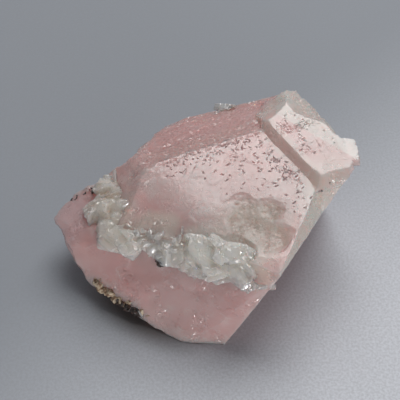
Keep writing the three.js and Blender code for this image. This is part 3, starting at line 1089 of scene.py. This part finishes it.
class Bench:
    """The nodes of one material, worked in the whole object's place."""

    def __init__(self, name: str) -> None:
        """Starts an empty material."""
        self.material = bpy.data.materials.new(name)
        self.material.use_nodes = True
        self.tree = self.material.node_tree
        self.tree.nodes.clear()
        self.place = self.node("ShaderNodeTexCoord", {}, {}, "Object")

    def plug(self, socket: bpy.types.NodeSocket, value: Value) -> None:
        """Sets a socket's value or links it."""
        if isinstance(value, Wire):
            self.tree.links.new(value.socket, socket)
        elif isinstance(value, tuple) and socket.type == "RGBA" and len(value) == 3:
            socket.default_value = (*value, 1.0)
        else:
            socket.default_value = value

    def node(self, kind: str, settings: dict[str, Any], sockets: dict[Any, Value], output: Any = 0) -> Wire:
        """Adds any node.

        Args:
            kind: the node's type.
            settings: its settings, which are set first.
            sockets: values or links of its inputs, by name or number.
            output: name or number of the output that is wanted.

        Returns:
            The output.
        """
        made = self.tree.nodes.new(kind)
        for name, value in settings.items():
            setattr(made, name, value)
        for key, value in sockets.items():
            self.plug(made.inputs[key], value)
        return Wire(self, made.outputs[output])

    def maths(self, operation: str, *values: Value) -> Wire:
        """A Math node."""
        return self.node("ShaderNodeMath", {"operation": operation}, dict(enumerate(values)))

    def clamp(self, value: Wire) -> Wire:
        """A value held between 0 and 1."""
        return self.maths("MAXIMUM", self.maths("MINIMUM", value, 1.0), 0.0)

    def ramp(self, value: Wire, low: float, high: float, start: float = 0.0, end: float = 1.0) -> Wire:
        """A soft step from start to end as a value goes from low to high."""
        return self.node("ShaderNodeMapRange", {"interpolation_type": "SMOOTHSTEP"},
                         {"Value": value, "From Min": low, "From Max": high, "To Min": start, "To Max": end})

    def mix(self, share: Value, one: Value, other: Value) -> Wire:
        """A colour between two."""
        return self.node("ShaderNodeMix", {"data_type": "RGBA"}, {0: share, 6: one, 7: other}, 2)

    def vector(self, operation: str, one: Value, other: Value) -> Wire:
        """A Vector Math node of two vectors."""
        return self.node("ShaderNodeVectorMath", {"operation": operation}, {0: one, 1: other})

    def scaled(self, scale: Triple, where: Wire | None = None) -> Wire:
        """The place, stretched along its axes."""
        return self.vector("MULTIPLY", where or self.place, scale)

    def warped(self, width: float, amount: float) -> Wire:
        """The place, pushed about by noise; width and amount in millimetres."""
        push = self.node("ShaderNodeTexNoise", {}, {"Vector": self.place, "Scale": 1 / (width * MM),
                                                    "Detail": 2.0}, "Color")
        push = self.vector("SUBTRACT", push, (0.5, 0.5, 0.5))
        return self.vector("ADD", self.place, self.vector("MULTIPLY", push, (2 * amount * MM,) * 3))

    def noise(self, width: float, detail: float = 3.0, rough: float = 0.55,
              where: Wire | None = None) -> Wire:
        """Noise from 0 to 1 whose broadest swells are this many millimetres wide."""
        return self.node("ShaderNodeTexNoise", {}, {"Vector": where or self.place, "Scale": 1 / (width * MM),
                                                    "Detail": detail, "Roughness": rough})

    def cells(self, width: float, where: Wire, output: str = "Distance") -> Wire:
        """Cells of about this many millimetres."""
        return self.node("ShaderNodeTexVoronoi", {}, {"Vector": where, "Scale": 1 / (width * MM)}, output)

    def facets(self, width: float, where: Wire) -> Wire:
        """Heights, in metres, of flat facets of about this many millimetres, each tilted its own way."""
        lean = self.cells(width, where, "Color")
        middle = Wire(self, lean.socket.node.outputs["Position"])
        offset = self.vector("SUBTRACT", where, middle)
        lean = self.vector("SUBTRACT", lean, (0.5, 0.5, 0.5))
        return self.node("ShaderNodeVectorMath", {"operation": "DOT_PRODUCT"}, {0: offset, 1: lean}, "Value")

    def veins(self, width: float, thickness: float, where: Wire | None = None) -> Wire:
        """Thin lines, 1 on the line, where noise crosses its middle."""
        field = self.noise(width, 4.0, 0.6, where)
        return 1 - self.ramp(self.maths("ABSOLUTE", field - 0.5), 0.0, thickness)

    def near(self, middle: Triple, reach: Triple, where: Wire | None = None) -> Wire:
        """Distance from a middle as a share of a reach, both in millimetres."""
        offset = self.vector("SUBTRACT", where or self.place, tuple(v * MM for v in middle))
        share = self.vector("DIVIDE", offset, tuple(v * MM for v in reach))
        return self.node("ShaderNodeVectorMath", {"operation": "LENGTH"}, {0: share}, "Value")

    def zone(self, middle: Triple, reach: Triple, low: float, high: float, warp: Pair | None = None) -> Wire:
        """1 in an oblong zone and 0 beyond it.

        Args:
            middle, reach: the zone's middle and half sizes, in millimetres.
            low, high: where its soft edge starts and ends, as shares of the reach.
            warp: width and amount of the noise that bends its edge, in millimetres.

        Returns:
            The share.
        """
        where = self.warped(*warp) if warp else None
        return 1 - self.ramp(self.near(middle, reach, where), low, high)

    def attribute(self, name: str) -> Wire:
        """A number kept on the mesh."""
        return self.node("ShaderNodeAttribute", {"attribute_name": name}, {}, "Fac")

    def bump(self, height: Wire, depth: float, strength: float = 1.0, under: Wire | None = None) -> Wire:
        """A bumped normal; depth in millimetres."""
        sockets: dict[Any, Value] = {"Height": height, "Distance": depth * MM, "Strength": strength}
        if under is not None:
            sockets["Normal"] = under
        return self.node("ShaderNodeBump", {}, sockets)

    def finish(self, sockets: dict[str, Value], absorbed: tuple | None = None,
               density: float = 0.0) -> bpy.types.Material:
        """Joins the surface, and an absorbing inside where there is one, to the output."""
        output = self.tree.nodes.new("ShaderNodeOutputMaterial")
        self.plug(output.inputs["Surface"], self.node("ShaderNodeBsdfPrincipled", {}, sockets))
        if absorbed is not None:
            inside = {"Color": absorbed, "Density": density}
            self.plug(output.inputs["Volume"], self.node("ShaderNodeVolumeAbsorption", {}, inside))
        return self.material


# ---------------- finishes


@dataclass(frozen=True)
class Translucent:
    """A mineral that light passes into, scatters in and is tinted by."""

    transmission: float
    ior: float
    gloss: float
    radius: Triple
    absorbed: Triple
    density: float = 12.0

    def finish(self, bench: Bench, color: Wire, rough: Wire, normal: Wire) -> bpy.types.Material:
        """Joins the surface and the inside."""
        return bench.finish({
            "Base Color": color, "Roughness": rough, "Normal": normal,
            "Transmission Weight": self.transmission, "IOR": self.ior, "Specular IOR Level": self.gloss,
            "Subsurface Weight": 1.0, "Subsurface Radius": self.radius, "Subsurface Scale": 1.0,
        }, self.absorbed, self.density)


@dataclass(frozen=True)
class Morganite:
    """Pale pink beryl, cloudy with veils, iron-stained where the shell break reaches it, with painted shade
    in its etch pits and painted highlights strewn in its colour.
    """

    pink: Triple = (0.93, 0.66, 0.64)
    deep: Triple = (0.85, 0.53, 0.51)
    veil: Triple = (0.96, 0.86, 0.84)
    flush: Triple = (1.0, 0.72, 0.70)
    beige: Triple = (0.92, 0.78, 0.71)
    stain: Triple = (0.86, 0.74, 0.66)
    green: Triple = (0.93, 0.89, 0.83)
    plum: Triple = (0.74, 0.56, 0.57)
    pit: Triple = (0.40, 0.33, 0.34)
    painted_glint: Triple = (0.95, 0.9, 0.88)
    body: Translucent = Translucent(0.44, 1.58, 0.65, (0.003, 0.0023, 0.0022), (1.0, 0.66, 0.62))

    def make(self) -> bpy.types.Material:
        """Builds the material."""
        bench = Bench("morganite")
        on = {name: bench.attribute(name) for name in MARKS}
        cloud = bench.noise(9.0, 3.0, 0.5)
        color = bench.mix(bench.ramp(cloud, 0.3, 0.75, 0.15, 0.85), self.pink, self.deep)
        bent = bench.warped(5.0, 2.5)
        wisps = bench.veins(3.0, 0.03, bent) * bench.ramp(bench.noise(5.0), 0.45, 0.62)
        haze = bench.ramp(bench.noise(2.6, 5.0, 0.65, bent), 0.5, 0.75)
        color = bench.mix(bench.clamp(wisps * 0.4 + haze * 0.3), color, self.veil)
        scoop = bench.zone((8.6, -9.4, 16.5), (9.0, 6.5, 4.5), 0.5, 1.2, (3.0, 1.2))
        scoop = bench.clamp(scoop * 0.75 + on["scoop"] * 0.3)
        beside = bench.near((-7.6, -8.8, 15.8), (6.5, 4.0, 4.0))
        for middle, reach in (((0.5, -12.0, 16.5), (7.5, 4.0, 3.5)), ((8.8, -14.2, 16.0), (6.0, 4.5, 3.5))):
            beside = bench.maths("MINIMUM", beside, bench.near(middle, reach))
        beside = bench.ramp(beside + 0.5 * bench.noise(2.5), 0.75, 1.25, 0.85, 0.0)
        right = bench.zone((21.0, -3.0, 14.0), (7.0, 9.0, 12.0), 0.5, 1.15)
        flushed = bench.zone((-10.4, 2.0, 16.8), (3.4, 6.5, 4.0), 0.3, 1.2, (3.0, 1.0))
        shoulder = bench.zone((-13.1, -4.6, 13.8), (4.0, 6.0, 3.4), 0.3, 1.2, (3.0, 1.2))
        nose = bench.zone((-23.5, -1.0, 8.5), (5.5, 6.5, 5.0), 0.6, 1.2)
        beyond = bench.zone((13.6, 13.0, 20.0), (4.4, 6.0, 5.0), 0.6, 1.1, (2.0, 0.9))
        for share, tint in ((scoop * 0.95, self.stain), (beside, self.beige), (right * 0.8, self.green),
                            (flushed * 0.7, self.flush), (shoulder * 0.5, self.stain),
                            (nose * 0.75, self.plum), (on["pyramid"] * 0.45, self.deep),
                            (on["riser"] * 0.65, self.beige), (beyond * 0.75, self.beige),
                            (on["bevel"] * 0.6, self.green), (on["rim"] * 0.8, self.green)):
            color = bench.mix(share, color, tint)
        milky = on["terrace"] * (0.15 + 0.3 * bench.ramp(bench.noise(5.0), 0.3, 0.7))
        color = bench.mix(milky, color, self.veil)
        sunk = on["sunk"] * on["terrace"]
        # Painted shade: corners sunk in the etch pits are darkened in the base colour.
        color = bench.mix(sunk * 0.9, color, self.pit)
        # Painted highlights: small whitish specks mixed into the base colour stand for sparkles of light.
        painted_glint_cells = bench.cells(0.9, bench.warped(0.8, 0.3))
        painted_glint = (1 - bench.ramp(painted_glint_cells, 0.03, 0.08)) * bench.ramp(bench.noise(4.0), 0.5, 0.6)
        color = bench.mix(painted_glint * 0.3, color, self.painted_glint)
        rough = 0.1 + 0.12 * bench.ramp(bench.noise(2.4, 4.0), 0.35, 0.75) + 0.3 * sunk + 0.3 * scoop
        rough = rough + 0.09 * on["terrace"]
        grain = bench.noise(0.5) * 0.6 + bench.noise(0.16, 2.0) * 0.4
        sparkling = bench.ramp(bench.noise(3.0), 0.48, 0.6) * (1 - 0.9 * on["terrace"]) * 0.8
        sparkling = sparkling + 0.5 * on["pyramid"] + 0.5 * flushed + 0.3 * scoop
        facets = bench.facets(0.4, bench.warped(0.6, 0.2))
        bumped = bench.bump(facets * bench.clamp(sparkling), METRE, 0.8, bench.bump(grain, 0.03, 0.5))
        return self.body.finish(bench, color, rough, bumped)


@dataclass(frozen=True)
class Albite:
    """Greenish white feldspar, glassy on its cleavages."""

    white: Triple = (1.0, 0.91, 0.81)
    milk: Triple = (1.0, 0.95, 0.87)
    shade: Triple = (0.95, 0.84, 0.74)
    beige: Triple = (0.90, 0.78, 0.69)
    body: Translucent = Translucent(0.36, 1.53, 1.0, (0.004, 0.0036, 0.0032), (0.97, 0.95, 0.90))

    def make(self) -> bpy.types.Material:
        """Builds the material."""
        bench = Bench("albite")
        color = bench.mix(bench.ramp(bench.noise(3.0, 4.0), 0.4, 0.7), self.white, self.milk)
        color = bench.mix(bench.ramp(bench.noise(1.3), 0.55, 0.8) * 0.7, color, self.shade)
        left = bench.zone((-15.5, -3.0, 12.5), (7.0, 8.0, 6.0), 0.6, 1.3)
        color = bench.mix(left * 0.6, color, self.beige)
        rough = 0.06 + 0.2 * bench.ramp(bench.noise(1.2), 0.45, 0.75)
        cleave = bench.noise(0.9, 3.0, 0.6, bench.scaled((1.0, 0.25, 1.0)))
        glassy = bench.ramp(bench.noise(1.8), 0.42, 0.55)
        facets = bench.facets(0.8, bench.warped(0.8, 0.3)) * glassy
        bumped = bench.bump(facets, METRE, 0.8, bench.bump(cleave, 0.05, 0.5))
        return self.body.finish(bench, color, rough, bumped)


@dataclass(frozen=True)
class StainedAlbite:
    """Stained fine-grained feldspar on the underside's edge."""

    pale: Triple = (0.55, 0.46, 0.34)
    rust: Triple = (0.22, 0.13, 0.08)

    def make(self) -> bpy.types.Material:
        """Builds the material."""
        bench = Bench("stained_albite")
        color = bench.mix(bench.ramp(bench.noise(0.7, 4.0), 0.42, 0.62), self.pale, self.rust)
        return bench.finish({"Base Color": color, "Roughness": 0.5 + 0.3 * bench.noise(0.5),
                             "Normal": bench.bump(bench.noise(0.25), 0.06, 0.7)})


@dataclass(frozen=True)
class Schorl:
    """Black tourmaline, ribbed and shiny."""

    black: Triple = (0.022, 0.016, 0.014)
    brown: Triple = (0.09, 0.05, 0.04)
    ior: float = 1.64

    def make(self) -> bpy.types.Material:
        """Builds the material."""
        bench = Bench("schorl")
        color = bench.mix(bench.ramp(bench.noise(0.6), 0.45, 0.7), self.black, self.brown)
        ribs = bench.noise(0.2, 2.0, 0.5, bench.scaled((1.0, 1.0, 0.2)))
        return bench.finish({"Base Color": color, "Roughness": 0.25 + 0.3 * bench.noise(0.4),
                             "Normal": bench.bump(ribs, 0.04, 0.6), "IOR": self.ior})


@dataclass(frozen=True)
class Board:
    """The pale grey board that the specimen lies on, painted lighter toward its front right for the fall of
    the light, with a painted shadow under the specimen's lower left edge.

    The painted shadow is an oblong whose half sizes and distance from the middle are in millimetres.
    """

    grey: Triple = (0.285, 0.31, 0.35)
    painted_light_grey: Triple = (0.70, 0.73, 0.79)
    painted_shadow: Triple = (0.10, 0.085, 0.08)
    speckle: Triple = (0.26, 0.265, 0.28)
    painted_shadow_half: Pair = (13.0, 6.2)
    off: float = 17.5

    def make(self) -> bpy.types.Material:
        """Builds the material."""
        bench = Bench("board")
        x = bench.node("ShaderNodeSeparateXYZ", {}, {0: bench.place}, "X")
        y = bench.node("ShaderNodeSeparateXYZ", {}, {0: bench.place}, "Y")
        # Painted light: the board's colour goes from grey at the back left to a lighter grey at the front
        # right, for how the light falls on it.
        color = bench.mix(bench.ramp(x - y * 1.1, -0.03, 0.07), self.grey, self.painted_light_grey)
        grain = bench.noise(0.45, 3.0, 0.7)
        color = bench.mix(bench.ramp(grain, 0.35, 0.65, 0.0, 0.3), color, self.speckle)
        # Painted shadow: a dark oblong under the specimen's lower left edge stands for the shadow it casts
        # there.
        along = (x * 0.82 - y * 0.57) / (self.painted_shadow_half[0] * MM)
        across = (x * -0.57 - y * 0.82 - self.off * MM) / (self.painted_shadow_half[1] * MM)
        beside = bench.maths("SQRT", along * along + across * across)
        color = bench.mix(bench.ramp(beside, 0.3, 1.1, 0.95, 0.0), color, self.painted_shadow)
        return bench.finish({"Base Color": color, "Roughness": 0.7, "Normal": bench.bump(grain, 0.05, 0.5)})


# ---------------- the studio


@dataclass
class Studio:
    """A pale board, a large soft lamp behind and above, a low one in front, and a camera looking down.

    The camera's distance is millimetres; the lamps' and the board's measures are metres.
    """

    aim: Vector = Vector((-0.176, 0.549, 12.0))
    elevation: float = 50.0
    distance: float = 163.0
    lens: float = 85.0
    key_way: Triple = (0.15, 0.52, 0.84)
    key_distance: float = 0.6
    key_size: Pair = (0.44, 0.44)
    key_power: float = 2.9
    key_color: Triple = (1.0, 0.985, 0.97)
    front_place: Triple = (0.12, -0.58, 0.05)
    front_size: Pair = (0.4, 0.1)
    front_power: float = 2.1
    front_color: Triple = (1.0, 0.98, 0.97)
    room: float = 0.15
    room_color: Triple = (0.95, 0.97, 1.0)
    board: float = 3.0

    def build(self) -> None:
        """Sets the board, the lamps, the surroundings and the camera."""
        bpy.ops.object.select_all(action="DESELECT")
        bpy.ops.mesh.primitive_plane_add(size=self.board, location=(0, 0, 0))
        board = bpy.context.object
        board.name = "board"
        board.data.materials.append(Board().make())
        above = Vector(self.key_way).normalized() * self.key_distance
        self.lamp("key", above, self.key_size, self.key_power, self.key_color)
        self.lamp("front", Vector(self.front_place), self.front_size, self.front_power, self.front_color)
        world = bpy.data.worlds.new("room")
        world.use_nodes = True
        light = world.node_tree.nodes["Background"].inputs
        light["Color"].default_value = (*self.room_color, 1.0)
        light["Strength"].default_value = self.room
        bpy.context.scene.world = world
        bpy.context.scene.view_settings.view_transform = "Standard"
        self.camera()

    @staticmethod
    def lamp(name: str, place: Vector, size: Pair, power: float, color: Triple) -> None:
        """Adds an oblong lamp that faces the specimen."""
        bpy.ops.object.select_all(action="DESELECT")
        bpy.ops.object.light_add(type="AREA", location=place)
        lamp = bpy.context.object
        lamp.name = name
        lamp.rotation_euler = (-place).to_track_quat("-Z", "Y").to_euler()
        lamp.data.shape = "RECTANGLE"
        lamp.data.size, lamp.data.size_y = size
        lamp.data.energy = power
        lamp.data.color = color

    def camera(self) -> None:
        """Adds the camera."""
        up = math.radians(self.elevation)
        back = Vector((0, -math.cos(up), math.sin(up)))
        bpy.ops.object.camera_add(location=(self.aim + back * self.distance) * MM)
        camera = bpy.context.object
        camera.rotation_euler = back.to_track_quat("Z", "Y").to_euler()
        camera.data.lens = self.lens
        camera.data.clip_start = 0.01
        bpy.context.scene.camera = camera


# ---------------- the specimen


class Specimen:
    """All the pieces, dressed."""

    def add(self, piece: Piece, finish: bpy.types.Material, slot: str, *nodes: str) -> None:
        """Dresses a piece, fixes it to the object and hides the imported parts that it stands for."""
        piece.data.materials.clear()
        piece.data.materials.append(finish)
        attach(piece, BODY)
        if nodes:
            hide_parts(*nodes)
        points = points_of(piece)
        triangles = sum(len(face.vertices) - 2 for face in piece.data.polygons)
        LOG.info("%s: %d triangles, %s to %s mm", piece.name, triangles,
                 points.min(axis=0).round(2).tolist(), points.max(axis=0).round(2).tolist())

    def build(self) -> None:
        """Models and dresses every piece in order."""
        pink, white = Morganite().make(), Albite().make()
        stained, black = StainedAlbite().make(), Schorl().make()
        self.add(Beryl().build(), pink, "morganite", "morganite_crystal")
        self.add(Crust().build(), white, "albite", "albite_crust")
        self.add(BackPatch().build(), white, "albite", "albite_back_patch")
        rim = Grains("schorl_prism", ((-6.3, -13.1, 12.4),), 5, (0.5, 1.1), 0.5, 81, (1.0, 1.8),
                     (Lump((-6.5, -12.9, 12.5), (0.45, 0.5, 1.35), (315, 60), 20, 2),))
        self.add(rim.build(), black, "schorl", "schorl_rim")
        edge = ((-17.8, -10.6, 4.2), (-16.4, -11.9, 3.3), (-13.8, -13.3, 2.6), (-11.2, -14.9, 2.2),
                (-9.0, -16.2, 1.7))
        strip = Grains("stained_strip", edge, 84, (0.4, 1.3), 0.55, 91, (0.7, 1.3))
        self.add(strip.build(), stained, "albite")
        base = Grains("schorl_cluster", ((-13.9, -13.9, 2.5), (-12.0, -15.0, 2.3), (-10.2, -16.0, 1.9)), 46,
                      (0.3, 0.85), 0.55, 92, (0.8, 2.0))
        self.add(base.build(), black, "schorl", "schorl_base")
        specks = Grains("schorl_specks", ((-23.6, 1.2, 9.7), (-22.0, 2.2, 10.4), (-20.4, 3.0, 11.0),
                                          (-19.2, 3.3, 11.6), (-18.6, 2.2, 12.2)), 34, (0.15, 0.42), 0.35, 93,
                        (0.8, 1.8), (Lump((-10.94, -14.1, 5.05), (0.14, 0.12, 0.13), (244, 63), 0, 1),
                                     Lump((19.1, -3.2, 20.3), (0.22, 0.75, 0.2), (236, 50), 8, 3),
                                     Lump((19.5, -4.2, 19.6), (0.16, 0.5, 0.16), (236, 50), -20, 4),
                                     Lump((20.95, -3.1, 20.7), (0.12, 0.14, 0.12), (278, 48), 0, 5)))
        self.add(specks.build(), black, "schorl")


def main() -> None:
    """Builds and dresses the specimen in order, and logs the sizes of its pieces."""
    logging.basicConfig(level=logging.INFO, format="%(message)s")
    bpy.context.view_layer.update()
    Studio().build()
    Specimen().build()


if __name__ == "__main__":
    main()
